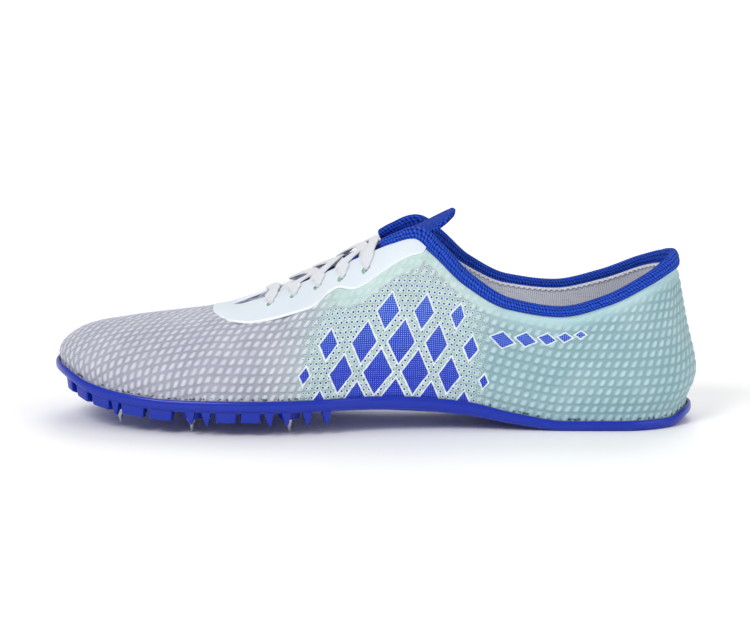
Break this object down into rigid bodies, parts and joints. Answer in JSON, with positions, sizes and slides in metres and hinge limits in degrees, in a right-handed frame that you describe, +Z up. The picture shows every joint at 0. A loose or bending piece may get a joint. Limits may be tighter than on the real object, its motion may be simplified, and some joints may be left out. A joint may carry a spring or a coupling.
{
  "type": "track spike shoe",
  "caption": "Left sprint spike shoe: hollow knit upper with open collar and laced throat on a thin moulded sole with edge lugs and steel pins.",
  "frame": {"origin": "centre of the bounding box, on the floor that the heel and the pins stand on", "axes": "+X from heel to toe, +Y to the shoe's left, its outer side, +Z up"},
  "size_m": [0.2766, 0.0926, 0.0921],
  "materials": {
    "moulded_sole": "satin moulded thermoplastic polyurethane, royal blue",
    "pin_steel": "turned steel",
    "sock_liner": "dark navy brushed fabric",
    "upper_knit": "open relief knit, pale mint to pale grey, with dotted print",
    "white_film": "smooth thin welded film",
    "blue_knit": "coarse padded knit, royal blue",
    "lace_weave": "flat woven lace"
  },
  "bodies": {
    "root": {"outsole": "moulded_sole", "spike_1": "pin_steel", "spike_2": "pin_steel", "spike_3": "pin_steel", "spike_4": "pin_steel", "spike_5": "pin_steel", "spike_6": "pin_steel", "spike_7": "pin_steel", "insole": "sock_liner", "upper": "upper_knit", "eyestay": "white_film", "collar": "blue_knit", "tongue": "blue_knit", "lace_bar_top": "lace_weave", "lace_bar_bottom": "lace_weave", "lace_cross_1": "lace_weave", "lace_cross_2": "lace_weave", "lace_cross_3": "lace_weave", "lace_cross_4": "lace_weave"}
  },
  "joints": []
}
